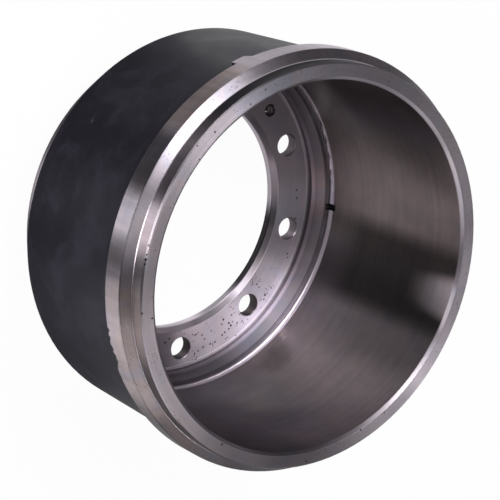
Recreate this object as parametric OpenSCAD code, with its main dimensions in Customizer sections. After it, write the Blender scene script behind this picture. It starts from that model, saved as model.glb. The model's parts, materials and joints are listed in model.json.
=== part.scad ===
// Brake drum: a single iron casting, turned at its rim, braking bore, shoulder and mounting flange.
// The wheel face lies on z = 0, the open end faces +Z, and X runs through a bolt hole.
// The bore leads the model: the walls around it are given as thicknesses, so they follow it.

/* [Overall] */
// Height from the wheel face to the open edge
height = 278; // [180:1:360]
// Diameter of the braking bore
bore_d = 410; // [402:1:500]
// Height of the shoulder that ends the braking bore, above the wheel face
shoulder_h = 42; // [32:1:80]

/* [Open end] */
// Wall of the outer band at the open end, measured from the bore
band_wall = 29.25; // [24:0.25:36]
// Height of the flat of the outer band
band_h = 25.5; // [10:0.5:40]
// Height of the chamfer between the band and the lip
band_chamfer_h = 8; // [4:0.5:14]
// Wall of the lip at the open edge, measured from the bore
lip_wall = 18.5; // [12:0.25:22]
// Height of the lip
lip_h = 16.5; // [8:0.5:30]
// Chamfer at the outside of the open edge
lip_chamfer = 1.6; // [0.4:0.1:3]
// Width of the lead-in at the mouth of the bore
lead_w = 3.5; // [1:0.5:6]
// Height of the lead-in at the mouth of the bore
lead_h = 3; // [1:0.5:10]

/* [Cast body] */
// Cast wall beside the band, measured from the bore
front_wall = 21; // [14:0.5:23]
// Cast wall level with the shoulder, measured from the bore
rear_wall = 16.3; // [12:0.1:20]
// How far above the shoulder the cast wall turns in towards the flange
turn_in_h = 9; // [4:0.5:20]
// Slope of the rear of the casting, from the axis
rear_slope = 30; // [10:1:32]
// Rounding where the cast wall turns in
turn_in_round = 20; // [4:1:30]
// Height of the turned edge outside the wheel face
edge_h = 9; // [3:0.5:10]
// Width of the turned edge outside the wheel face
edge_w = 7.3; // [2:0.1:8]
// Least wall between the relief groove and the rear slope
edge_wall = 3.5; // [2:0.1:6]

/* [Cast lug] */
// Angle of the end of the lug that stands under the band and is turned with it
lug_angle = -128.1; // [-180:0.1:180]
// Length of the lug along its lower edge
lug_w = 17; // [6:0.5:60]
// How far the lug reaches down from the band
lug_h = 8.4; // [4:0.1:20]
// Slope of the end where the lug runs out into the band
lug_run_out = 28; // [0:1:60]

/* [Flange] */
// Thickness of the mounting flange
flange_t = 15; // [12:0.5:22]
// Diameter of the bore that centres the drum on its hub
pilot_d = 280; // [200:1:284]
// Chamfer of the centring bore, inside the drum
pilot_chamfer = 6; // [1:0.5:7]
// Diameter of the turned face that the hub bears on
hub_face_d = 380; // [370:1:384]
// Chamfer around the hub face
hub_face_chamfer = 1.5; // [0.5:0.25:2]
// Width of the relief groove around the hub face
groove_w = 3.5; // [1:0.5:5]
// Depth of the relief groove around the hub face
groove_depth = 2; // [1:0.25:3]

/* [Shoulder] */
// Width of the flat at the end of the braking bore
shoulder_w = 4.6; // [3:0.1:6]
// Fillet between the braking bore and the shoulder
shoulder_fillet = 2.5; // [0.5:0.5:2.5]
// Height of the straight wall below the shoulder
shoulder_step = 5; // [2:0.5:8]
// Height of the foot of the inner slope above the hub face
foot_h = 3.5; // [1:0.5:5]

/* [Bolt holes] */
// Number of wheel bolt holes
bolt_count = 10; // [4:1:14]
// Diameter of the bolt circle
bolt_circle_d = 335; // [328:1:340]
// Diameter of a wheel bolt hole
bolt_hole_d = 26; // [12:0.5:32]
// Chamfer of every hole in the flange and at the outer end of the centring bore
hole_chamfer = 1; // [0.2:0.1:1.5]

/* [Jack holes] */
// Number of threaded holes that press the drum off its hub
jack_count = 2; // [1:1:3]
// Diameter across the roots of the jack thread
jack_d = 14; // [8:0.5:18]
// Chamfer of a jack hole
jack_chamfer = 0.8; // [0.2:0.1:1.5]
// The gap between bolt holes that holds the first jack hole
jack_gap = 4; // [0:1:9]

/* [Wear notch] */
// Angle of the notch around the axis
notch_angle = 118.5; // [0:0.5:359]
// Width of the notch across the shoulder
notch_w = 7.4; // [3:0.2:12]
// Height of the notch above the shoulder
notch_up = 9; // [3:0.5:14]
// Height of the notch below the shoulder
notch_down = 3.6; // [1:0.2:4.5]
// Depth of the notch into the wall of the bore
notch_depth = 4.5; // [1:0.5:6]
// Rounding of the corners of the notch
notch_round = 2.4; // [0.5:0.1:3.4]

/* [Roundings] */
// Rounding of the edges of the outer band
band_round = 1.2; // [0.2:0.1:3]
// Fillet at the root of the lip
lip_fillet = 2; // [0.5:0.5:4]
// Fillet where the band runs down to the cast wall
band_fillet = 5; // [1:0.5:8]
// Rounding of the edges that the lathe left sharp
break_round = 0.6; // [0.1:0.1:1]

/* [Hidden] */
$fn = 180;
// How far a cutter runs past the surface that it cuts
past = 1;
// How far an arc sinks into the edges that it joins
seat = 0.002;
bore_r = bore_d / 2;
pilot_r = pilot_d / 2;
hub_face_r = hub_face_d / 2;
band_r = bore_r + band_wall;
lip_r = bore_r + lip_wall;
front_r = bore_r + front_wall;
rear_r = bore_r + rear_wall;
// Heights of the open end, counted down from the open edge
lip_foot_z = height - lip_h;
band_top_z = lip_foot_z - band_chamfer_h;
band_foot_z = band_top_z - band_h;
front_z = band_foot_z - (band_r - front_r);
// Rear of the casting, from the turn-in down to the wheel face
turn_in_z = shoulder_h + turn_in_h;
foot_r = hub_face_r + groove_w;
edge_r = max(rear_r - (turn_in_z - edge_h) * tan(rear_slope), foot_r + edge_wall);
wheel_face_r = edge_r - edge_w;
// Inside of the neck between the shoulder and the flange
neck_r = bore_r - shoulder_w;
bolt_pitch = 360 / bolt_count;
jack_stride = floor(bolt_count / jack_count);

// Corners of the section, counter-clockwise: [radius, height, rounding]
SECTION = [
    [pilot_r + hole_chamfer, 0, 0],
    [wheel_face_r, 0, break_round],
    [edge_r, edge_h, 3],
    [rear_r, turn_in_z, turn_in_round],
    [front_r, front_z, band_fillet],
    [band_r, band_foot_z, band_round],
    [band_r, band_top_z, band_round],
    [lip_r, lip_foot_z, lip_fillet],
    [lip_r, height - lip_chamfer, 0],
    [lip_r - lip_chamfer, height, 0],
    [bore_r + lead_w, height, break_round],
    [bore_r, height - lead_h, 0],
    [bore_r, shoulder_h, shoulder_fillet],
    [neck_r, shoulder_h, break_round],
    [neck_r, shoulder_h - shoulder_step, break_round],
    [foot_r, flange_t + foot_h, break_round],
    [foot_r, flange_t - groove_depth, break_round],
    [hub_face_r, flange_t - groove_depth, 0],
    [hub_face_r, flange_t - hub_face_chamfer, 0],
    [hub_face_r - hub_face_chamfer, flange_t, 0],
    [pilot_r + pilot_chamfer, flange_t, break_round],
    [pilot_r, flange_t - pilot_chamfer, 0],
    [pilot_r, hole_chamfer, 0]
];

// Place of corner k of the section, counted round the list
function place(k) = [for (i = [0, 1]) SECTION[(k + len(SECTION)) % len(SECTION)][i]];
// Direction from one place to another
function way(from, to) = (to - from) / norm(to - from);
// True where the section turns outwards at corner k, so that its rounding takes metal away
function is_outer(k) = cross(place(k) - place(k - 1), place(k + 1) - place(k)) > 0;

// Sliver between corner k and the arc that rounds it, carried on past the two edges
module sliver(k, r) {
    back = way(place(k), place(k - 1));
    ahead = way(place(k), place(k + 1));
    half = acos(back * ahead) / 2;
    to_centre = (back + ahead) / norm(back + ahead) * r / sin(half);
    reach = r / tan(half);
    rim = [ahead * reach, [0, 0], back * reach];
    translate(place(k) + to_centre) difference() {
        polygon(concat([[0, 0]], [for (p = rim) (p - to_centre) * (1 + past / r)]));
        circle(r + seat);
    }
}

module slivers(outer) {
    for (k = [0 : len(SECTION) - 1])
        if (SECTION[k][2] > 0 && is_outer(k) == outer) sliver(k, SECTION[k][2]);
}

module section() {
    difference() {
        union() {
            polygon([for (k = [0 : len(SECTION) - 1]) place(k)]);
            slivers(false);
        }
        slivers(true);
    }
}

// Cutter for a hole through the flange, chamfered at both faces
module flange_hole(d, chamfer) {
    translate([0, 0, -past]) cylinder(d = d, h = flange_t + 2 * past);
    for (top = [0, 1])
        translate([0, 0, top * flange_t]) mirror([0, 0, top])
            translate([0, 0, -past])
                cylinder(r1 = d / 2 + chamfer + past, r2 = d / 2, h = chamfer + past);
}

module on_bolt_circle(angle) {
    rotate(angle) translate([bolt_circle_d / 2, 0, 0]) children();
}

module bolt_holes() {
    for (i = [0 : bolt_count - 1])
        on_bolt_circle(i * bolt_pitch) flange_hole(bolt_hole_d, hole_chamfer);
}

module jack_holes() {
    for (i = [0 : jack_count - 1])
        on_bolt_circle((jack_gap + i * jack_stride + 0.5) * bolt_pitch) flange_hole(jack_d, jack_chamfer);
}

// Outline of the notch: a rectangle with round corners, seen along its radius
module notch_outline() {
    inner_w = notch_w - 2 * notch_round;
    inner_h = notch_up + notch_down - 2 * notch_round;
    translate([0, (notch_up - notch_down) / 2]) {
        square([notch_w, inner_h], center = true);
        square([inner_w, inner_h + 2 * notch_round], center = true);
        for (x = [-1, 1], y = [-1, 1])
            translate([x * inner_w / 2, y * inner_h / 2]) circle(notch_round);
    }
}

module wear_notch() {
    rotate(notch_angle) translate([neck_r - past, 0, shoulder_h]) rotate([90, 0, 90])
        linear_extrude(shoulder_w + notch_depth + past) notch_outline();
}

// Lug under the band, cut back to the band's own diameter
module band_lug() {
    slope = tan(lug_run_out);
    top = band_round + past;
    intersection() {
        rotate(lug_angle) translate([bore_r + front_wall / 2, 0, band_foot_z]) rotate([90, 0, 90])
            linear_extrude(band_wall)
                polygon([[0, -lug_h], [0, top], [-lug_w - (lug_h + top) * slope, top], [-lug_w, -lug_h]]);
        cylinder(r = band_r, h = height);
    }
}

module brake_drum() {
    color("dimgray") difference() {
        union() {
            rotate_extrude() section();
            band_lug();
        }
        bolt_holes();
        jack_holes();
        wear_notch();
    }
}

brake_drum();
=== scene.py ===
import json
import math

import bmesh
import bpy
from bpy.props import FloatProperty, FloatVectorProperty, IntProperty, PointerProperty
from bpy.types import Operator, Panel, PropertyGroup
from mathutils import Matrix, Vector


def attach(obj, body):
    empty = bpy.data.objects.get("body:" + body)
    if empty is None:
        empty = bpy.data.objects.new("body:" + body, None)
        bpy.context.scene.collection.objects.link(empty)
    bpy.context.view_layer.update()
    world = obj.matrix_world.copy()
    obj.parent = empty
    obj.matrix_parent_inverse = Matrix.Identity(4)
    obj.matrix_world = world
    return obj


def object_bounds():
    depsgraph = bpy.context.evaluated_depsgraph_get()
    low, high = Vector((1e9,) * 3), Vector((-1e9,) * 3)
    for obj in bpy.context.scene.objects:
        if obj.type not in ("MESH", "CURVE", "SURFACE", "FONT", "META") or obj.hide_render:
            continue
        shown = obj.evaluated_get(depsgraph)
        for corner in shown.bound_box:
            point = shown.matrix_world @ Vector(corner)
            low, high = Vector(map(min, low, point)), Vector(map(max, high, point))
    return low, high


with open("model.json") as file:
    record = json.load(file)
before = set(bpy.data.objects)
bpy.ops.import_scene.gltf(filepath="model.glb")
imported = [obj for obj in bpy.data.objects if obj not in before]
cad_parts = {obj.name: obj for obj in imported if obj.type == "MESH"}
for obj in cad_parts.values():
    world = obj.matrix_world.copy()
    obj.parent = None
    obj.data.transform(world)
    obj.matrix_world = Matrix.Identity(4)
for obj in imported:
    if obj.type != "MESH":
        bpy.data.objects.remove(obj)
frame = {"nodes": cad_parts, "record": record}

bl_info = {
    "name": "Brake Drum Finish",
    "version": (1, 0, 0),
    "blender": (4, 5, 0),
    "location": "3D View > Sidebar > Brake Drum",
    "description": "Finishes a cast and turned brake drum and lights it in a plain studio",
    "category": "Object",
}

CAD_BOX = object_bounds()
MM = 0.001


# Sizes of the drum in millimetres, read from its mounts and its box

def mount(name):
    """The mount of that name in the record."""
    return next(m for m in frame["record"]["mounts"] if m["name"] == name)


HEIGHT = CAD_BOX[1][2] / MM
BAND_R = CAD_BOX[1][0] / MM
BORE_R = mount("braking_bore")["dims"]["r_mm"]
PILOT_R = mount("pilot_bore")["dims"]["r_mm"]
HUB_FACE_Z = mount("hub_face")["pos_m"][2] / MM
JACK_R = mount("jack_thread_a")["dims"]["r_mm"]
# Turned sizes that no mount gives
LIP_R = BORE_R + 18.5
LIP_FOOT_Z = HEIGHT - 16.5
BAND_TOP_Z = LIP_FOOT_Z - 8.0
BAND_FOOT_Z = BAND_TOP_Z - 25.5
SHOULDER_Z = 42.0
SHOULDER_R = BORE_R - 4.6
GROOVE_R = 190.0
BARE_CONE_R = BORE_R + 13.0
WHEEL_EDGE_R, WHEEL_EDGE_Z = 197.05, 9.0
REAR_SLOPE = math.tan(math.radians(30.0))
NOTCH_AZIMUTH = 118.5


# Shader maths

class Wire:
    """One output in a node tree, usable in Python expressions on numbers."""

    def __init__(self, tree, socket):
        self.tree = tree
        self.socket = socket

    def maths(self, operation, *values):
        """The result of a Math node on these values."""
        return self.tree.node("ShaderNodeMath", {"operation": operation}, dict(enumerate(values)))

    def __add__(self, other):
        return self.maths("ADD", self, other)

    __radd__ = __add__

    def __sub__(self, other):
        return self.maths("SUBTRACT", self, other)

    def __rsub__(self, other):
        return self.maths("SUBTRACT", other, self)

    def __mul__(self, other):
        return self.maths("MULTIPLY", self, other)

    __rmul__ = __mul__

    def __truediv__(self, other):
        return self.maths("DIVIDE", self, other)

    def __rtruediv__(self, other):
        return self.maths("DIVIDE", other, self)

    def least(self, other):
        """The smaller of two values."""
        return self.maths("MINIMUM", self, other)

    def most(self, other):
        """The greater of two values."""
        return self.maths("MAXIMUM", self, other)

    def over(self, edge, soft):
        """0 below the edge and 1 above it, turning smoothly within soft of it."""
        return self.tree.node(
            "ShaderNodeMapRange", {"interpolation_type": "SMOOTHSTEP"},
            {"Value": self, "From Min": edge - soft, "From Max": edge + soft})

    def under(self, edge, soft):
        """1 below the edge and 0 above it."""
        return 1.0 - self.over(edge, soft)

    def between(self, low, high, soft):
        """1 between two edges and 0 outside them."""
        return self.over(low, soft) * self.under(high, soft)


class ShaderTree:
    """The node tree of a new material or world, with one way to add any node."""

    def __init__(self, owner, output="ShaderNodeOutputMaterial"):
        owner.use_nodes = True
        self.nodes = owner.node_tree.nodes
        self.links = owner.node_tree.links
        self.nodes.clear()
        self.output = self.nodes.new(output)

    def node(self, kind, settings=None, values=None, out=0):
        """Adds a node: its settings first, then the values or wires of its sockets.

        Gives the wire of one output, or a list of wires for a tuple of outputs.
        """
        made = self.nodes.new(kind)
        for key, value in (settings or {}).items():
            setattr(made, key, value)
        for key, value in (values or {}).items():
            if isinstance(value, Wire):
                self.links.new(value.socket, made.inputs[key])
            else:
                made.inputs[key].default_value = value
        if isinstance(out, tuple):
            return [Wire(self, made.outputs[name]) for name in out]
        return Wire(self, made.outputs[out])

    def mix(self, mask, first, second):
        """The first colour where the mask is 0 and the second where it is 1."""
        colours = [c if isinstance(c, Wire) else (*c, 1.0) for c in (first, second)]
        return self.node(
            "ShaderNodeMix", {"data_type": "RGBA"},
            {"Factor": mask, 6: colours[0], 7: colours[1]}, out=2)

    def vector(self, operation, *values, out=0):
        """The result of a Vector Math node on these values."""
        return self.node("ShaderNodeVectorMath", {"operation": operation}, dict(enumerate(values)), out=out)

    def split(self, vector):
        """The three parts of a vector."""
        return self.node("ShaderNodeSeparateXYZ", {}, {0: vector}, out=("X", "Y", "Z"))

    def seeing_rays(self):
        """Masks for the rays that see a surface directly, in a mirror and through glass."""
        return self.node("ShaderNodeLightPath", out=("Is Camera Ray", "Is Glossy Ray", "Is Transmission Ray"))

    def noise(self, vector, scale, detail=2.0, roughness=0.5, distortion=0.0):
        """Cloudy values of 0 to 1; the scale is in patches a metre."""
        return self.node(
            "ShaderNodeTexNoise", {"noise_dimensions": "3D"},
            {"Vector": vector, "Scale": scale, "Detail": detail, "Roughness": roughness,
             "Distortion": distortion}, out="Fac")

    def finish_with(self, surface):
        """Leads a shader to the tree's output."""
        self.links.new(surface.socket, self.output.inputs["Surface"])


class SectionTree(ShaderTree):
    """A material's tree with wires for the place of a point on the drum's section, in millimetres."""

    def __init__(self, name):
        self.material = bpy.data.materials.new(name)
        super().__init__(self.material)
        self.point = self.node("ShaderNodeTexCoord", out="Object")
        self.x, self.y, z = self.split(self.point)
        self.flat = self.vector("MULTIPLY", self.point, (1.0, 1.0, 0.0))
        self.radius = self.vector("LENGTH", self.flat, out="Value") / MM
        self.height = z / MM
        # Changes along every turned face, flat, wall or chamfer
        self.across = self.radius - self.height * 1.9

    def facing(self, azimuth):
        """1 on the side of the drum at this azimuth in degrees, -1 on the far side."""
        turn = math.radians(azimuth)
        return (self.x * math.cos(turn) + self.y * math.sin(turn)) / (self.radius * MM)

    def sector(self, azimuth, half, soft):
        """A mask over half degrees to either side of an azimuth, fading within soft degrees."""
        near, far = (math.cos(math.radians(half + s)) for s in (-soft, soft))
        return self.facing(azimuth).over((near + far) / 2, (near - far) / 2)

    def stretched(self, round_scale, across_scale):
        """A vector for noise that runs round the drum in long streaks."""
        flat = self.vector("MULTIPLY", self.flat, (round_scale, round_scale, 0.0))
        across = self.node("ShaderNodeCombineXYZ", {}, {"Z": self.across * (MM * across_scale)})
        return self.vector("ADD", flat, across)


# Sizes and colours that a user would change

class DrumFinish(PropertyGroup):
    """Colours and roughness of the casting"""
    paint_colour: FloatVectorProperty(
        name="Paint", description="Colour of the matt paint on the cast outside",
        subtype="COLOR", default=(0.0098, 0.009, 0.0132), min=0.0, max=1.0)
    iron_colour: FloatVectorProperty(
        name="Iron", description="Colour of the turned faces",
        subtype="COLOR", default=(0.50, 0.447, 0.50), min=0.0, max=1.0)
    oxide_colour: FloatVectorProperty(
        name="Oxide", description="Colour of the turned faces where they have begun to brown",
        subtype="COLOR", default=(0.53, 0.43, 0.43), min=0.0, max=1.0)
    film_colour: FloatVectorProperty(
        name="Film", description="Colour of the turned faces under a thin film of oil",
        subtype="COLOR", default=(0.42, 0.42, 0.51), min=0.0, max=1.0)
    # The colour of the holes holds painted shade as well as the drilled iron's own darkness
    hole_colour: FloatVectorProperty(
        name="Holes", description="Colour of the walls of the drilled holes",
        subtype="COLOR", default=(0.10, 0.085, 0.09), min=0.0, max=1.0)
    iron_roughness: FloatProperty(
        name="Iron roughness", description="Roughness of the turned faces",
        subtype="FACTOR", default=0.34, min=0.05, max=1.0)
    iron_brushing: FloatProperty(
        name="Brushing", description="How far reflections spread across the turning lines",
        subtype="FACTOR", default=0.9, min=0.0, max=1.0)


class JackThreads(PropertyGroup):
    """Shape of the threads in the jack holes"""
    pitch: FloatProperty(
        name="Pitch", description="Pitch of the jack threads", subtype="DISTANCE", default=2.0 * MM)
    run_out: FloatProperty(
        name="Run-out", description="Height that the thread leaves free at each end of its hole",
        subtype="DISTANCE", default=0.08 * MM)
    start: FloatProperty(
        name="Start", description="Direction in which the thread starts, from the X axis",
        subtype="ANGLE", default=math.radians(82.0))
    steps: IntProperty(
        name="Steps", description="Steps in one turn of the thread", default=32, min=12, max=96)


class DrumStudio(PropertyGroup):
    """Place and lens of the camera"""
    azimuth: FloatProperty(
        name="Azimuth", description="Direction of the camera around the drum, from the X axis",
        subtype="ANGLE", default=math.radians(-83.47))
    elevation: FloatProperty(
        name="Elevation", description="Height of the camera above the drum, as an angle",
        subtype="ANGLE", default=math.radians(50.43))
    roll: FloatProperty(
        name="Roll", description="How far the camera is rolled, counter-clockwise from behind it",
        subtype="ANGLE", default=math.radians(112.576))
    distance: FloatProperty(
        name="Distance", description="From the camera to the point it aims at",
        subtype="DISTANCE", default=2.5431)
    aim: FloatVectorProperty(
        name="Aim", description="Point that the camera aims at", subtype="TRANSLATION",
        default=(0.0057, 0.0209, 0.139))
    lens: FloatProperty(
        name="Lens", description="Focal length on a 36 mm sensor, in millimetres",
        unit="CAMERA", default=163.87)


def link_object(name, data):
    """A new object in the scene."""
    made = bpy.data.objects.new(name, data)
    bpy.context.scene.collection.objects.link(made)
    return made


def put_material(piece, material):
    """Gives the piece this material alone."""
    piece.data.materials.clear()
    piece.data.materials.append(material)


def mesh_object(name, form):
    """A smooth object from a finished bmesh, with its faces pointing outwards."""
    bmesh.ops.remove_doubles(form, verts=form.verts, dist=1e-6)
    bmesh.ops.recalc_face_normals(form, faces=form.faces)
    for face in form.faces:
        face.smooth = True
    mesh = bpy.data.meshes.new(name)
    form.to_mesh(mesh)
    form.free()
    return link_object(name, mesh)


def on_drum(azimuth, radius, height):
    """A place on the drum in metres, from degrees and millimetres."""
    turn = math.radians(azimuth)
    return (radius * math.cos(turn) * MM, radius * math.sin(turn) * MM, height * MM)


def spots(tree, places, soft, ragged):
    """A mask of round marks at the places, each with its half size in millimetres.

    The ragged value moves their edges in and out, and soft is how far they fade.
    """
    mask = None
    for place, size in places:
        away = tree.vector("DISTANCE", tree.point, place, out="Value") / MM
        mark = (away + ragged).under(size, soft)
        mask = mark if mask is None else mask.most(mark)
    return mask


# Marks on the iron

# How pale each turned face is, partly its own tone and partly painted light: painted highlights on the
# fillet, the rim and the slope foot, and painted shade in the notch, the groove and the flat and along the
# edge and cone lines; those that aren't named are at 1
FACE_TONES_AND_PAINTED_LIGHT = {
    "slope": 0.85, "slope_foot": 1.7, "lead": 0.75, "chamfer": 0.66, "band": 0.8, "lip": 0.5, "bore": 0.44,
    "fillet": 1.75, "flat": 0.32, "step": 0.5, "pilot": 0.9, "pilot_chamfer": 0.7, "rim": 1.85, "floor": 1.25,
    "groove": 0.42, "notch": 0.12, "edge": 0.35, "cone": 1.1, "cone_line": 0.35,
}
# Painted reflections on the turned faces, paler or darker where the metal mirrors light or dark surroundings,
# by face: azimuth and half width in degrees, soft edge, depth.
# A depth below 0 makes the face paler there, a painted highlight; above 0 it is painted shade.
PAINTED_REFLECTIONS = (
    ("lip", -132.0, 25.0, 9.0, 0.88),
    ("lip", -77.0, 7.5, 3.0, -0.6),
    ("lip", -24.0, 13.0, 8.0, 0.78),
    ("chamfer", -160.0, 24.0, 10.0, 0.45),
    ("chamfer", -58.0, 6.0, 3.0, 0.25),
    ("chamfer", -36.0, 20.0, 5.0, 0.42),
    ("chamfer", -86.0, 12.0, 8.0, -0.4),
    ("chamfer", 20.0, 10.0, 8.0, 0.45),
    ("band_edge", -40.0, 26.0, 8.0, 0.55),
    ("band_edge", -80.0, 12.0, 5.0, 0.6),
    ("edge", -79.5, 9.5, 3.0, -2.6),
    ("lip_root", -38.0, 22.0, 8.0, 0.6),
    ("band", -168.0, 18.0, 8.0, -0.5),
    ("band", -108.0, 9.0, 6.0, 0.35),
    ("band", -93.5, 8.0, 2.0, 0.4),
    ("band", -69.0, 3.5, 2.0, 0.4),
    ("band", -49.0, 11.0, 5.0, -0.2),
    ("band", -12.0, 13.0, 6.0, 0.65),
    ("bore", 89.0, 11.0, 8.0, 0.45),
    ("bore", 160.0, 18.0, 10.0, 0.3),
    ("bore", 64.0, 14.0, 10.0, 0.3),
    ("slope", 28.0, 20.0, 8.0, 0.5),
    ("slope", 56.0, 8.0, 6.0, 0.35),
    ("slope", 110.0, 6.0, 5.0, 0.3),
    ("slope", 150.0, 19.0, 8.0, 0.55),
    ("slope", 81.0, 6.0, 6.0, -0.15),
    ("face", 158.0, 18.0, 12.0, 0.4),
    ("face", 106.0, 16.0, 10.0, -0.7),
    ("face", 42.0, 8.0, 6.0, -0.25),
    ("face", 22.0, 10.0, 6.0, 0.4),
    ("pilot", 94.0, 22.0, 6.0, 0.93),
    ("pilot", 36.0, 11.0, 6.0, -1.2),
    ("pilot", 63.0, 8.0, 5.0, 0.2),
    ("pilot_chamfer", 28.0, 12.0, 6.0, -0.9),
    ("pilot_chamfer", 61.0, 7.0, 5.0, 0.5),
    ("pilot_chamfer", 112.0, 4.0, 2.0, 0.35),
    ("pilot_chamfer", 130.0, 9.0, 5.0, -0.5),
    ("pilot_chamfer", 156.0, 12.0, 6.0, 0.5),
    ("lead", 40.0, 28.0, 8.0, 0.55),
    ("lead", 82.0, 10.0, 6.0, 0.3),
    ("lead", 101.0, 5.0, 4.0, -1.3),
    ("lead", -172.0, 22.0, 10.0, -1.4),
    ("mouth", -130.0, 8.0, 5.0, 0.3),
    ("mouth", -108.0, 8.0, 5.0, -0.15),
    ("mouth", -80.0, 9.0, 6.0, -0.4),
    ("mouth", -30.0, 20.0, 12.0, -0.25),
    ("mouth", 35.0, 16.0, 10.0, 0.3),
    ("mouth", 97.0, 20.0, 12.0, -0.6),
    ("mouth", 67.0, 6.0, 5.0, 0.15),
    ("mouth_rim", -78.0, 11.0, 5.0, -0.25),
)
# Brown in the oxide, by face: azimuth and half width in degrees, soft edge, amount
BROWNS = (
    ("band", -115.0, 12.0, 3.0, 0.9),
    ("band", -38.0, 22.0, 3.0, 0.6),
    ("chamfer", -28.0, 24.0, 4.0, 0.8),
    ("chamfer", -55.0, 4.0, 2.0, 1.0),
    ("lip", -30.0, 30.0, 6.0, 1.0),
    ("mouth", -40.0, 45.0, 20.0, 0.3),
    ("slope", 125.0, 10.0, 6.0, 1.0),
    ("bore", 60.0, 20.0, 12.0, 0.7),
    ("bore", 132.0, 22.0, 8.0, 1.0),
)
# Thin blue film of oil, by face: azimuth and half width in degrees, soft edge, amount
FILMS = (
    ("mouth", -130.0, 12.0, 6.0, 0.8),
    ("lip", -135.0, 26.0, 8.0, 0.6),
    ("slope", 50.0, 26.0, 12.0, 0.7),
    ("face", 72.0, 10.0, 8.0, 0.4),
    ("face", 116.0, 8.0, 6.0, 0.5),
    ("bore", 36.0, 14.0, 8.0, 0.5),
)
# Pits in the casting that the lathe opened: azimuth, radius, half size, in degrees and millimetres
FACE_PITS = (
    (81.0, 158.7, 1.2), (80.6, 163.9, 0.9), (79.9, 178.6, 1.4), (82.0, 174.6, 0.9), (83.6, 180.6, 1.1),
    (78.4, 180.9, 1.0), (63.4, 161.0, 1.0), (59.0, 158.6, 1.3), (57.6, 162.6, 1.1), (60.7, 167.6, 1.3),
    (63.9, 175.2, 1.2), (61.0, 172.1, 1.5), (59.6, 174.0, 1.2), (62.4, 169.4, 1.0), (57.4, 174.4, 1.1),
    (55.9, 175.5, 1.2), (66.1, 178.0, 1.0), (52.0, 178.4, 1.3), (49.7, 177.4, 1.1), (50.8, 179.2, 0.9),
    (46.4, 176.6, 1.2), (43.9, 178.8, 1.0), (42.2, 180.0, 1.1), (43.6, 157.4, 1.1), (47.0, 161.3, 1.1),
    (47.8, 167.7, 1.0), (51.8, 162.0, 0.9), (28.0, 157.0, 1.3), (26.4, 172.0, 1.4), (25.0, 176.0, 1.2),
    (30.0, 153.0, 1.1), (98.1, 179.2, 1.1), (96.8, 181.0, 0.9), (120.6, 174.2, 1.2), (123.9, 172.9, 1.1),
    (112.4, 176.0, 1.1),
)
MOUTH_PITS = (
    (-101.4, 221.2, 1.0), (-99.2, 209.2, 1.0), (-107.7, 215.4, 1.2), (62.5, 210.0, 1.1), (52.7, 209.4, 1.0),
    (31.8, 218.0, 1.0), (-1.1, 211.0, 1.1), (-51.9, 210.4, 1.2), (-121.0, 212.0, 1.1), (-127.0, 217.0, 1.0),
    (-68.6, 222.9, 1.7), (-69.9, 222.8, 1.3), (-67.3, 222.9, 1.3), (-72.4, 222.8, 1.2), (-54.0, 222.2, 1.2),
)
# Pale rubs in the bore near its shoulder: azimuth, height, half size
RUBS = ((72.8, 50.0, 5.0), (71.8, 55.0, 4.0), (71.0, 60.0, 3.0))
# Paint that crept up from the foot of the band: azimuth, height, half size
CHIPS = (
    (-39.4, 228.4, 5.4), (-38.1, 229.4, 4.8), (-41.6, 227.4, 4.4), (-36.6, 227.4, 3.8),
    (-46.8, 227.2, 3.4), (-44.4, 226.8, 3.6),
)


# Materials

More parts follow.
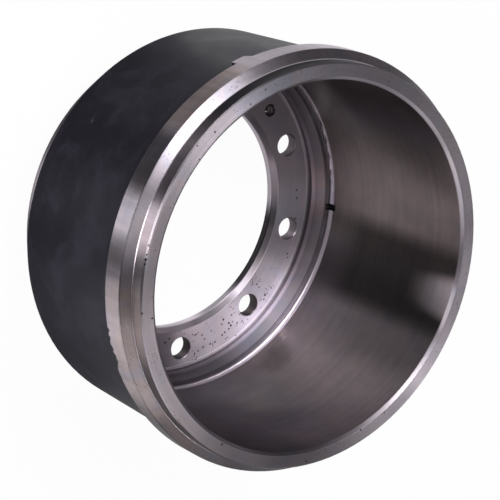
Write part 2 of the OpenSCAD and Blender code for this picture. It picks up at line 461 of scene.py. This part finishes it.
def turned_faces(tree):
    """A mask for each of the turned faces."""
    r, z = tree.radius, tree.height
    open_edge = z.over(HEIGHT - 0.2, 0.1)
    hub_plane = z.between(HUB_FACE_Z - 0.5, HUB_FACE_Z + 0.5, 0.1)
    above_shoulder = z.over(SHOULDER_Z - 0.4, 0.2)
    cone_depth = (r - z * REAR_SLOPE) - (WHEEL_EDGE_R - WHEEL_EDGE_Z * REAR_SLOPE)
    open_end = {
        "mouth": r.over(BORE_R + 3.7, 0.3) * open_edge,
        "mouth_rim": r.between(LIP_R - 4.0, LIP_R - 1.6, 0.6) * open_edge,
        "lead": r.under(BORE_R + 3.4, 0.3) * z.over(HEIGHT - 3.1, 0.15),
        "edge": r.over(LIP_R - 1.7, 0.2) * z.over(HEIGHT - 1.7, 0.2),
        "lip": r.between(LIP_R - 0.6, LIP_R + 0.8, 0.3) * z.between(LIP_FOOT_Z + 0.5, HEIGHT - 1.4, 0.3),
        "lip_root": r.between(LIP_R, LIP_R + 2.2, 0.2) * z.between(LIP_FOOT_Z - 0.9, LIP_FOOT_Z + 1.9, 0.3),
        "chamfer": r.between(LIP_R + 0.8, BAND_R - 0.5, 0.3) * z.between(BAND_TOP_Z, LIP_FOOT_Z + 0.5, 0.3),
        "band": r.over(BAND_R - 0.5, 0.3),
        "band_edge": r.over(BAND_R - 1.1, 0.3) * z.between(BAND_TOP_Z - 0.8, BAND_TOP_Z + 0.9, 0.2),
    }
    inside = {
        "bore": r.between(BORE_R - 1.0, BORE_R + 1.0, 0.5) * z.between(SHOULDER_Z + 5.5, HEIGHT - 3.1, 1.2),
        "fillet": r.between(BORE_R - 1.8, BORE_R + 1.0, 0.5)
        * z.under(SHOULDER_Z + 5.5, 1.2) * above_shoulder,
        "flat": r.under(BORE_R - 1.8, 0.5) * above_shoulder * z.under(SHOULDER_Z + 0.5, 0.2),
        "step": r.between(SHOULDER_R - 0.6, SHOULDER_R + 0.6, 0.2) * z.under(SHOULDER_Z - 0.6, 0.2),
        "notch": tree.sector(NOTCH_AZIMUTH, 1.06, 0.05) * r.under(BORE_R + 5.0, 0.3)
        * z.between(SHOULDER_Z - 3.7, SHOULDER_Z + 9.1, 0.2),
        "slope": r.between(GROOVE_R + 3.5, SHOULDER_R + 0.8, 0.3) * z.under(SHOULDER_Z, 0.2),
        "slope_foot": r.between(GROOVE_R + 3.3, GROOVE_R + 5.0, 0.3) * z.over(HUB_FACE_Z + 3.2, 0.3),
    }
    flange = {
        "groove": r.between(GROOVE_R + 2.6, GROOVE_R + 3.9, 0.3) * z.under(HUB_FACE_Z + 3.2, 0.3),
        "floor": r.between(GROOVE_R + 0.2, GROOVE_R + 2.6, 0.3) * z.under(HUB_FACE_Z, 0.3),
        "rim": r.between(GROOVE_R - 2.4, GROOVE_R + 0.2, 0.4) * z.over(HUB_FACE_Z - 1.9, 0.3),
        "face": hub_plane * r.under(GROOVE_R - 1.0, 0.3),
        "pilot": r.under(PILOT_R + 0.8, 0.3),
        "pilot_chamfer": r.between(PILOT_R + 0.8, PILOT_R + 5.9, 0.3),
    }
    rear = {
        "cone": r.under(BARE_CONE_R, 0.5) * cone_depth.over(-1.0, 0.3),
        "cone_line": r.between(WHEEL_EDGE_R + 8.0, WHEEL_EDGE_R + 10.5, 0.6) * z.under(SHOULDER_Z, 1.0),
    }
    return {**open_end, **inside, **flange, **rear}


def bore_painted_light_and_rubs(tree):
    """Painted light in the bore: a painted dark reflection over one sector, deeper above 75 mm, with a
    painted glint in it that widens towards the mouth, and pale rubs and a smudge.
    """
    z = tree.height
    # Painted shade: the dark that the bore mirrors over one sector
    mirrored_dark = tree.sector(105.0, 13.0, 4.0) * (z.over(75.0, 40.0) * 0.45 + 0.35)
    narrowing = 0.9985 - (z - 200.0) * 0.00007
    # Painted highlight near the mouth
    glint = tree.facing(103.8).over(narrowing, 0.0045) * z.over(230.0, 38.0)
    ragged = (tree.noise(tree.point, 50.0, detail=3.0) - 0.5) * 24.0
    rubs = spots(tree, [(on_drum(a, BORE_R, h), size) for a, h, size in RUBS], 5.0, ragged)
    smudge = spots(tree, [(on_drum(62.0, BORE_R, 78.0), 20.0)], 16.0, ragged)
    shaded = (1.0 - mirrored_dark * (1.0 - glint)) * (glint * 0.7 + 1.0)
    return shaded * (rubs * 0.7 + 1.0) * (1.0 - smudge * 0.4)


def turned_tone(tree, faces):
    """How pale the iron is: its faces with their painted light, the painted reflections by azimuth, and the
    painted shade and glint in the bore.
    """
    tone = 1.0
    # Tones of the faces, with their painted highlights and painted shade
    for name, pale in FACE_TONES_AND_PAINTED_LIGHT.items():
        tone = (1.0 - faces[name] * (1.0 - pale)) * tone
    # Painted reflections: each face paler or darker by azimuth
    for name, azimuth, half, soft, depth in PAINTED_REFLECTIONS:
        tone = (1.0 - faces[name] * tree.sector(azimuth, half, soft) * depth) * tone
    return (faces["bore"] * (bore_painted_light_and_rubs(tree) - 1.0) + 1.0) * tone


def tint(tree, faces, marks, start):
    """A mask that is at least start everywhere, and reaches the marks' amounts where they lie."""
    for name, azimuth, half, soft, amount in marks:
        start = start.most(faces[name] * tree.sector(azimuth, half, soft) * amount)
    return start


def pit_mask(tree, faces):
    """The open pits at their places, and crowds of fine ones on the flat faces and the chamfer."""
    marks = [(on_drum(a, r, HUB_FACE_Z), size) for a, r, size in FACE_PITS]
    marks += [(on_drum(a, r, HEIGHT), size) for a, r, size in MOUTH_PITS]
    fine = tree.node(
        "ShaderNodeTexVoronoi", {"feature": "F1", "voronoi_dimensions": "3D"},
        {"Vector": tree.point, "Scale": 260.0}, out="Distance").under(0.24, 0.08)
    crowd = tree.noise(tree.point, 70.0, detail=2.0).over(0.55, 0.05)
    near = faces["face"] * tree.sector(62.0, 26.0, 8.0) + faces["mouth"] * 0.5 + faces["chamfer"] * 0.4
    ragged = (tree.noise(tree.point, 700.0, detail=2.0) - 0.5) * 1.6
    return spots(tree, marks, 0.5, ragged).most(fine * crowd * near.least(1.0) * 0.9)


def drilled_mask(tree):
    """The walls of the holes in the flange, fainter on their chamfers."""
    r, z = tree.radius, tree.height
    walls = z.between(0.9, HUB_FACE_Z - 0.9, 0.15)
    chamfers = z.between(0.06, HUB_FACE_Z - 0.06, 0.04)
    return r.between(PILOT_R + 7.5, GROOVE_R - 2.0, 0.3) * (walls * 0.4 + chamfers * 0.6)


def iron_colour(tree, faces, finish, patches, drilled):
    """Clean iron that turns brown or filmed with oil in patches, and darker in the drilled holes: partly the
    drilled iron's own tone, partly painted shade, with less of it in the holes towards azimuth 112, a painted
    lit side.
    """
    pools = tree.noise(tree.point, 27.0, detail=2.0, roughness=0.6, distortion=0.6)
    brown = tint(tree, faces, BROWNS, faces["lip"] * 0.2 + faces["bore"] * 0.35) + (patches - 0.5) * 1.4
    drops = pools.over(0.6, 0.06) * (1.0 - faces["bore"]) * 0.4
    film = tint(tree, faces, FILMS, drops) * pools.over(0.46, 0.14)
    colour = tree.mix(brown.most(0.0).least(1.0), finish.iron_colour, finish.oxide_colour)
    colour = tree.mix(film, colour, finish.film_colour)
    # Painted shade inside the drilled holes, less of it in those towards azimuth 112 where light falls in
    hole_shade = drilled * (1.0 - tree.sector(112.0, 30.0, 12.0) * 0.4)
    return tree.mix(hole_shade, colour, finish.hole_colour)


def iron_wires(tree, finish):
    """Colour, roughness and bump of the turned faces."""
    faces = turned_faces(tree)
    lines = tree.noise(tree.stretched(2.0, 700.0), 1.0, detail=3.0, roughness=0.7)
    bands = tree.noise(tree.stretched(5.0, 90.0), 1.0, detail=3.0)
    haze = tree.noise(tree.point, 16.0, detail=4.0, roughness=0.6)
    patches = tree.noise(tree.point, 34.0, detail=3.0, roughness=0.6)
    smears = tree.noise(tree.vector("MULTIPLY", tree.point, (150.0, 150.0, 12.0)), 1.0, detail=2.0)
    pits = pit_mask(tree, faces)
    drilled = drilled_mask(tree)
    outer_walls = faces["band"] + faces["lip"] + faces["chamfer"] * 0.5
    mottle = (smears - 0.5) * outer_walls * 0.5 + (patches - 0.5) * faces["bore"] * 0.5
    grain = lines * 0.22 + haze * 0.34 + (bands - 0.5) * (faces["bore"] * 0.15 + 0.26) + mottle + 0.72
    shade = grain * turned_tone(tree, faces) * (1.0 - pits * 0.95)
    colour = tree.node("ShaderNodeVectorMath", {"operation": "SCALE"}, {
        0: iron_colour(tree, faces, finish, patches, drilled), "Scale": shade})
    uneven = (lines - 0.5) * 0.10 + (haze - 0.5) * 0.10
    roughness = uneven + drilled * 0.2 + pits * 0.3 + finish.iron_roughness
    bump = tree.node("ShaderNodeBump", {}, {"Strength": 0.25, "Distance": 0.05 * MM, "Height": lines})
    return colour, roughness, bump


# A nick in the paint: azimuth, radius and height, half size, and the grey of the bare metal
NICK = (-97.6, BORE_R + 17.5, 97.7)
NICK_SIZE = 2.2
NICK_COLOUR = (0.035, 0.035, 0.035)
# How much paler the paint is where it is scuffed
SCUFF_GAIN = 2.2


def paint_wires(tree, finish):
    """Colour, roughness and bump of the painted casting."""
    grain = tree.noise(tree.point, 450.0, detail=4.0, roughness=0.6)
    patches = tree.noise(tree.point, 22.0, detail=4.0, roughness=0.6, distortion=0.4)
    scuffed = tuple(c * SCUFF_GAIN for c in finish.paint_colour)
    colour = tree.mix(patches.over(0.55, 0.12) * 0.55 + grain * 0.2, finish.paint_colour, scuffed)
    nick = spots(tree, [(on_drum(*NICK), NICK_SIZE)], 0.8, (grain - 0.5) * 3.0)
    colour = tree.mix(nick, colour, NICK_COLOUR)
    roughness = (patches - 0.5) * 0.3 + 0.45
    bump = tree.node("ShaderNodeBump", {}, {"Strength": 0.5, "Distance": 0.3 * MM, "Height": grain})
    return colour, roughness, bump


def painted_mask(tree):
    """Where the cast outside is painted: from the turned cone up to the band, and a few chips over it."""
    r, z = tree.radius, tree.height
    wander = tree.noise(tree.point, 90.0, detail=3.0)
    outside = r.over(BORE_R + 8.0, 0.1) * r.under(BAND_R - 0.4, 0.15)
    foot = (z + wander * 3.0).over(SHOULDER_Z + 7.0, 0.4)
    top = (z - wander * 2.4).under(BAND_FOOT_Z - 0.4, 0.3)
    chips = [(on_drum(a, BAND_R, height), size) for a, height, size in CHIPS]
    ragged = (tree.noise(tree.point, 170.0, detail=3.0) - 0.5) * 3.5
    crept = spots(tree, chips, 0.8, ragged) * r.over(BAND_R - 2.5, 0.5)
    return (outside * foot * top).most(crept)


def casting_material(finish):
    """Turned iron on the machined faces and matt paint on the cast outside."""
    tree = SectionTree("drum_iron")
    colour, roughness, bump = iron_wires(tree, finish)
    iron = tree.node("ShaderNodeBsdfPrincipled", {}, {
        "Base Color": colour, "Metallic": 1.0, "Roughness": roughness, "Normal": bump,
        "Anisotropic": finish.iron_brushing, "Anisotropic Rotation": 0.25})
    colour, roughness, bump = paint_wires(tree, finish)
    paint = tree.node("ShaderNodeBsdfPrincipled", {}, {
        "Base Color": colour, "Roughness": roughness, "Normal": bump, "Specular IOR Level": 0.22,
        "Specular Tint": (0.88, 0.84, 1.0, 1.0)})
    tree.finish_with(tree.node(
        "ShaderNodeMixShader", {}, {"Fac": painted_mask(tree), 1: iron, 2: paint}))
    return tree.material


# Heights between which the crests of the thread carry a painted glint
GLINT_HEIGHTS = ((4.6, 6.2), (9.4, 11.2))
# Painted shade in the roots and painted glint on the crests of the thread, next to the colour of the drilled
# holes
ROOT_SHADE_GAIN, CREST_GLINT_GAIN = 0.25, 4.0


def thread_material(finish):
    """Cut iron with a painted glint on its crests in two bands and painted shade in its roots."""
    tree = SectionTree("jack_thread_iron")
    holes = [(*mount("jack_thread_" + side)["pos_m"][:2], 0.0) for side in "ab"]
    first, second = (tree.vector("DISTANCE", tree.flat, hole, out="Value") for hole in holes)
    lower, upper = (tree.height.between(low, high, 0.5) for low, high in GLINT_HEIGHTS)
    # Painted glint on the crests, painted shade in the roots
    crest = (first.least(second) / MM).under(JACK_R - 1.0, 0.3) * (lower.most(upper) * 0.85 + 0.15)
    root_shade, crest_glint = (tuple(c * gain for c in finish.hole_colour) for gain in (ROOT_SHADE_GAIN, CREST_GLINT_GAIN))
    tree.finish_with(tree.node("ShaderNodeBsdfPrincipled", {}, {
        "Base Color": tree.mix(crest, root_shade, crest_glint), "Metallic": 1.0, "Roughness": 0.45}))
    return tree.material


# Shades that the metal mirrors in the white floor: azimuth and half width in degrees, soft edge, depth
FLOOR_SHADES = (
    (-128.0, 19.0, 3.0, 0.6),
    (-96.0, 13.0, 1.5, 1.0),
    (-57.5, 7.5, 1.5, 0.75),
    (12.0, 32.0, 12.0, 0.4),
)
# A painted shadow of the drum in the floor close to it, as metal mirrors the floor: by its radius in
# millimetres, sector and depth
NEAR_FLOOR_R = 340.0
NEAR_FLOOR_SECTOR = (-62.0, 75.0, 15.0)
NEAR_FLOOR_DEPTH = 0.85
# White of the floor as metal mirrors it
MIRRORED_WHITE = 0.88
# How much of the white floor glows where it is seen: the rest is cloth that keeps the shadow
GLOW_SHARE = 0.96


def floor_material():
    """White where it is seen, with a soft shadow kept; metal mirrors it white with a few shades and a painted
    shadow next to the drum.
    """
    tree = SectionTree("studio_floor")
    camera, glossy, clear = tree.seeing_rays()
    tone = 1.0
    for azimuth, half, soft, depth in FLOOR_SHADES:
        tone = (1.0 - tree.sector(azimuth, half, soft) * depth) * tone
    # Painted shadow of the drum, in what metal mirrors
    beside = tree.radius.under(NEAR_FLOOR_R, 60.0) * tree.sector(*NEAR_FLOOR_SECTOR)
    mirrored = tree.mix(tone * (1.0 - beside * NEAR_FLOOR_DEPTH), (0.0,) * 3, (MIRRORED_WHITE,) * 3)
    cloth = tree.node("ShaderNodeBsdfDiffuse", {}, {"Color": (0.8, 0.8, 0.8, 1.0)})
    glow = tree.node("ShaderNodeEmission", {}, {
        "Color": tree.mix(glossy, (1.0,) * 3, mirrored), "Strength": 1.0})
    seen = camera.most(clear).most(glossy)
    tree.finish_with(tree.node("ShaderNodeMixShader", {}, {"Fac": seen * GLOW_SHARE, 1: cloth, 2: glow}))
    return tree.material


# Operators

class DRUM_OT_finish_casting(Operator):
    """Gives the casting its turned iron and its paint"""
    bl_idname = "drum.finish_casting"
    bl_label = "Finish Casting"

    def execute(self, context):
        put_material(frame["nodes"]["brake_drum"], casting_material(context.scene.drum_finish))
        return {"FINISHED"}


# Shares of the pitch: how far the ridge stands out, and half its width at the root and at the crest
RIDGE_DEPTH, ROOT_HALF, CREST_HALF = 0.85, 0.4, 0.125


def thread_ridge(settings, hole_r, length):
    """The ridge of an internal thread, wound up a hole whose radius is at its roots."""
    pitch = settings.pitch
    depth, root, crest = RIDGE_DEPTH * pitch, ROOT_HALF * pitch, CREST_HALF * pitch
    sunk = 0.1 * MM
    form = bmesh.new()
    profile = [form.verts.new((x, 0.0, z)) for x, z in (
        (hole_r + sunk, -root), (hole_r - depth, -crest), (hole_r - depth, crest), (hole_r + sunk, root))]
    edges = [form.edges.new((profile[k - 1], profile[k])) for k in range(4)]
    turns = (length - 2 * root) / pitch
    steps = round(turns * settings.steps)
    wound = bmesh.ops.spin(
        form, geom=profile + edges, cent=(0.0, 0.0, 0.0), axis=(0.0, 0.0, 1.0), angle=turns * math.tau,
        dvec=(0.0, 0.0, turns * pitch / steps), steps=steps)
    form.faces.new(profile)
    form.faces.new([v for v in wound["geom_last"] if isinstance(v, bmesh.types.BMVert)])
    bmesh.ops.translate(form, verts=form.verts, vec=(0.0, 0.0, root))
    bmesh.ops.rotate(form, verts=form.verts, matrix=Matrix.Rotation(settings.start, 3, "Z"))
    return form


class DRUM_OT_cut_jack_threads(Operator):
    """Winds the thread in each of the jack holes"""
    bl_idname = "drum.cut_jack_threads"
    bl_label = "Cut Jack Threads"

    def execute(self, context):
        settings = context.scene.jack_threads
        material = thread_material(context.scene.drum_finish)
        for side in ("a", "b"):
            x, y, _ = mount("jack_thread_" + side)["pos_m"]
            form = thread_ridge(settings, JACK_R * MM, HUB_FACE_Z * MM - 2 * settings.run_out)
            bmesh.ops.translate(form, verts=form.verts, vec=(x, y, settings.run_out))
            piece = mesh_object("jack_thread_" + side, form)
            put_material(piece, material)
            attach(piece, "root")
        return {"FINISHED"}


class DRUM_OT_set_stage(Operator):
    """Lays the floor, hangs the lamps and places the camera"""
    bl_idname = "drum.set_stage"
    bl_label = "Set Stage"

    def execute(self, context):
        lay_floor()
        set_air()
        hang_lamps()
        place_camera(context.scene.drum_studio)
        context.scene.view_settings.view_transform = "Standard"
        return {"FINISHED"}


# Half the width of the floor in metres
FLOOR_HALF = 12.0


def lay_floor():
    """A plain square floor under the drum."""
    mesh = bpy.data.meshes.new("floor")
    form = bmesh.new()
    bmesh.ops.create_grid(form, x_segments=1, y_segments=1, size=FLOOR_HALF)
    form.to_mesh(mesh)
    form.free()
    floor = link_object("floor", mesh)
    put_material(floor, floor_material())


def aim_at(spot, target, roll=0.0):
    """A matrix that stands at a spot and looks at a target along its own -Z."""
    back = (spot - target).normalized()
    right = Vector((0.0, 0.0, 1.0)).cross(back).normalized()
    upright = Matrix((right, back.cross(right), back)).transposed().to_4x4()
    return Matrix.Translation(spot) @ upright @ Matrix.Rotation(roll, 4, "Z")


def around(azimuth, elevation, distance, centre):
    """The point at that direction and distance from a centre."""
    level = math.cos(elevation) * distance
    height = math.sin(elevation) * distance
    return Vector((level * math.cos(azimuth), level * math.sin(azimuth), height)) + centre


# From each lamp to the middle of the drum, in metres
LAMP_DISTANCE = 3.0
# Lamps: name, azimuth and elevation in degrees, size in metres, power in watts
LAMPS = (
    ("key", -135.0, 56.0, (1.9, 1.7), 48.0),
    ("key_core", -135.0, 64.0, (0.7, 2.6), 19.0),
    ("top", -170.0, 64.0, (2.2, 0.8), 21.0),
    ("front", -71.0, 6.0, (1.2, 0.6), 42.0),
    ("side", -12.0, 32.0, (2.4, 1.0), 14.0),
    ("side_low", -8.0, 8.0, (2.6, 1.0), 42.0),
    ("far_fill", 45.0, 60.0, (1.1, 2.2), 9.0),
)
# How bright the dim room is, and how white where it is seen
AIR = 0.18
SEEN_WHITE = 0.98


def set_air():
    """A dim room that is white where it is seen, and where metal mirrors its foot."""
    world = bpy.data.worlds.new("studio_air")
    tree = ShaderTree(world, "ShaderNodeOutputWorld")
    camera, glossy, clear = tree.seeing_rays()
    upward = tree.split(tree.node("ShaderNodeTexCoord", out="Object"))[2]
    white = camera.most(clear).most(glossy * upward.under(0.02, 0.02))
    tree.finish_with(tree.node("ShaderNodeBackground", {}, {
        "Color": tree.mix(white, (AIR,) * 3, (SEEN_WHITE,) * 3)}))
    bpy.context.scene.world = world


def hang_lamps():
    """Square soft lamps around the drum, all aimed at its middle."""
    centre = Vector((0.0, 0.0, HEIGHT * MM / 2))
    for name, azimuth, elevation, size, power in LAMPS:
        light = bpy.data.lights.new("lamp_" + name, "AREA")
        light.shape = "RECTANGLE"
        light.size, light.size_y = size
        light.energy = power
        lamp = link_object("lamp_" + name, light)
        spot = around(math.radians(azimuth), math.radians(elevation), LAMP_DISTANCE, centre)
        lamp.matrix_world = aim_at(spot, centre)


# Width of the camera's sensor in millimetres
SENSOR_MM = 36.0


def place_camera(view):
    """The camera, where the settings of the studio put it."""
    aim = Vector(view.aim)
    camera = bpy.data.cameras.new("camera")
    camera.lens = view.lens
    camera.sensor_width = SENSOR_MM
    camera.clip_end = 50.0
    holder = link_object("camera", camera)
    holder.matrix_world = aim_at(around(view.azimuth, view.elevation, view.distance, aim), aim, view.roll)
    bpy.context.scene.camera = holder


class DRUM_PT_sidebar(Panel):
    """Lists the steps that finish the drum"""
    bl_idname = "DRUM_PT_sidebar"
    bl_label = "Brake Drum"
    bl_space_type = "VIEW_3D"
    bl_region_type = "UI"
    bl_category = "Brake Drum"

    def draw(self, context):
        for step in STEPS:
            self.layout.operator(step.bl_idname)


STEPS = (DRUM_OT_finish_casting, DRUM_OT_cut_jack_threads, DRUM_OT_set_stage)
GROUPS = {"drum_finish": DrumFinish, "jack_threads": JackThreads, "drum_studio": DrumStudio}
CLASSES = (*GROUPS.values(), *STEPS, DRUM_PT_sidebar)


def register():
    """Makes the settings, the operators and the panel known to Blender."""
    for entry in CLASSES:
        bpy.utils.register_class(entry)
    for name, group in GROUPS.items():
        setattr(bpy.types.Scene, name, PointerProperty(type=group))


def unregister():
    """Takes away what register added."""
    for name in GROUPS:
        delattr(bpy.types.Scene, name)
    for entry in reversed(CLASSES):
        bpy.utils.unregister_class(entry)


def main():
    """Finishes the drum step by step."""
    register()
    for step in STEPS:
        family, name = step.bl_idname.split(".")
        getattr(getattr(bpy.ops, family), name)()


if __name__ == "__main__":
    main()
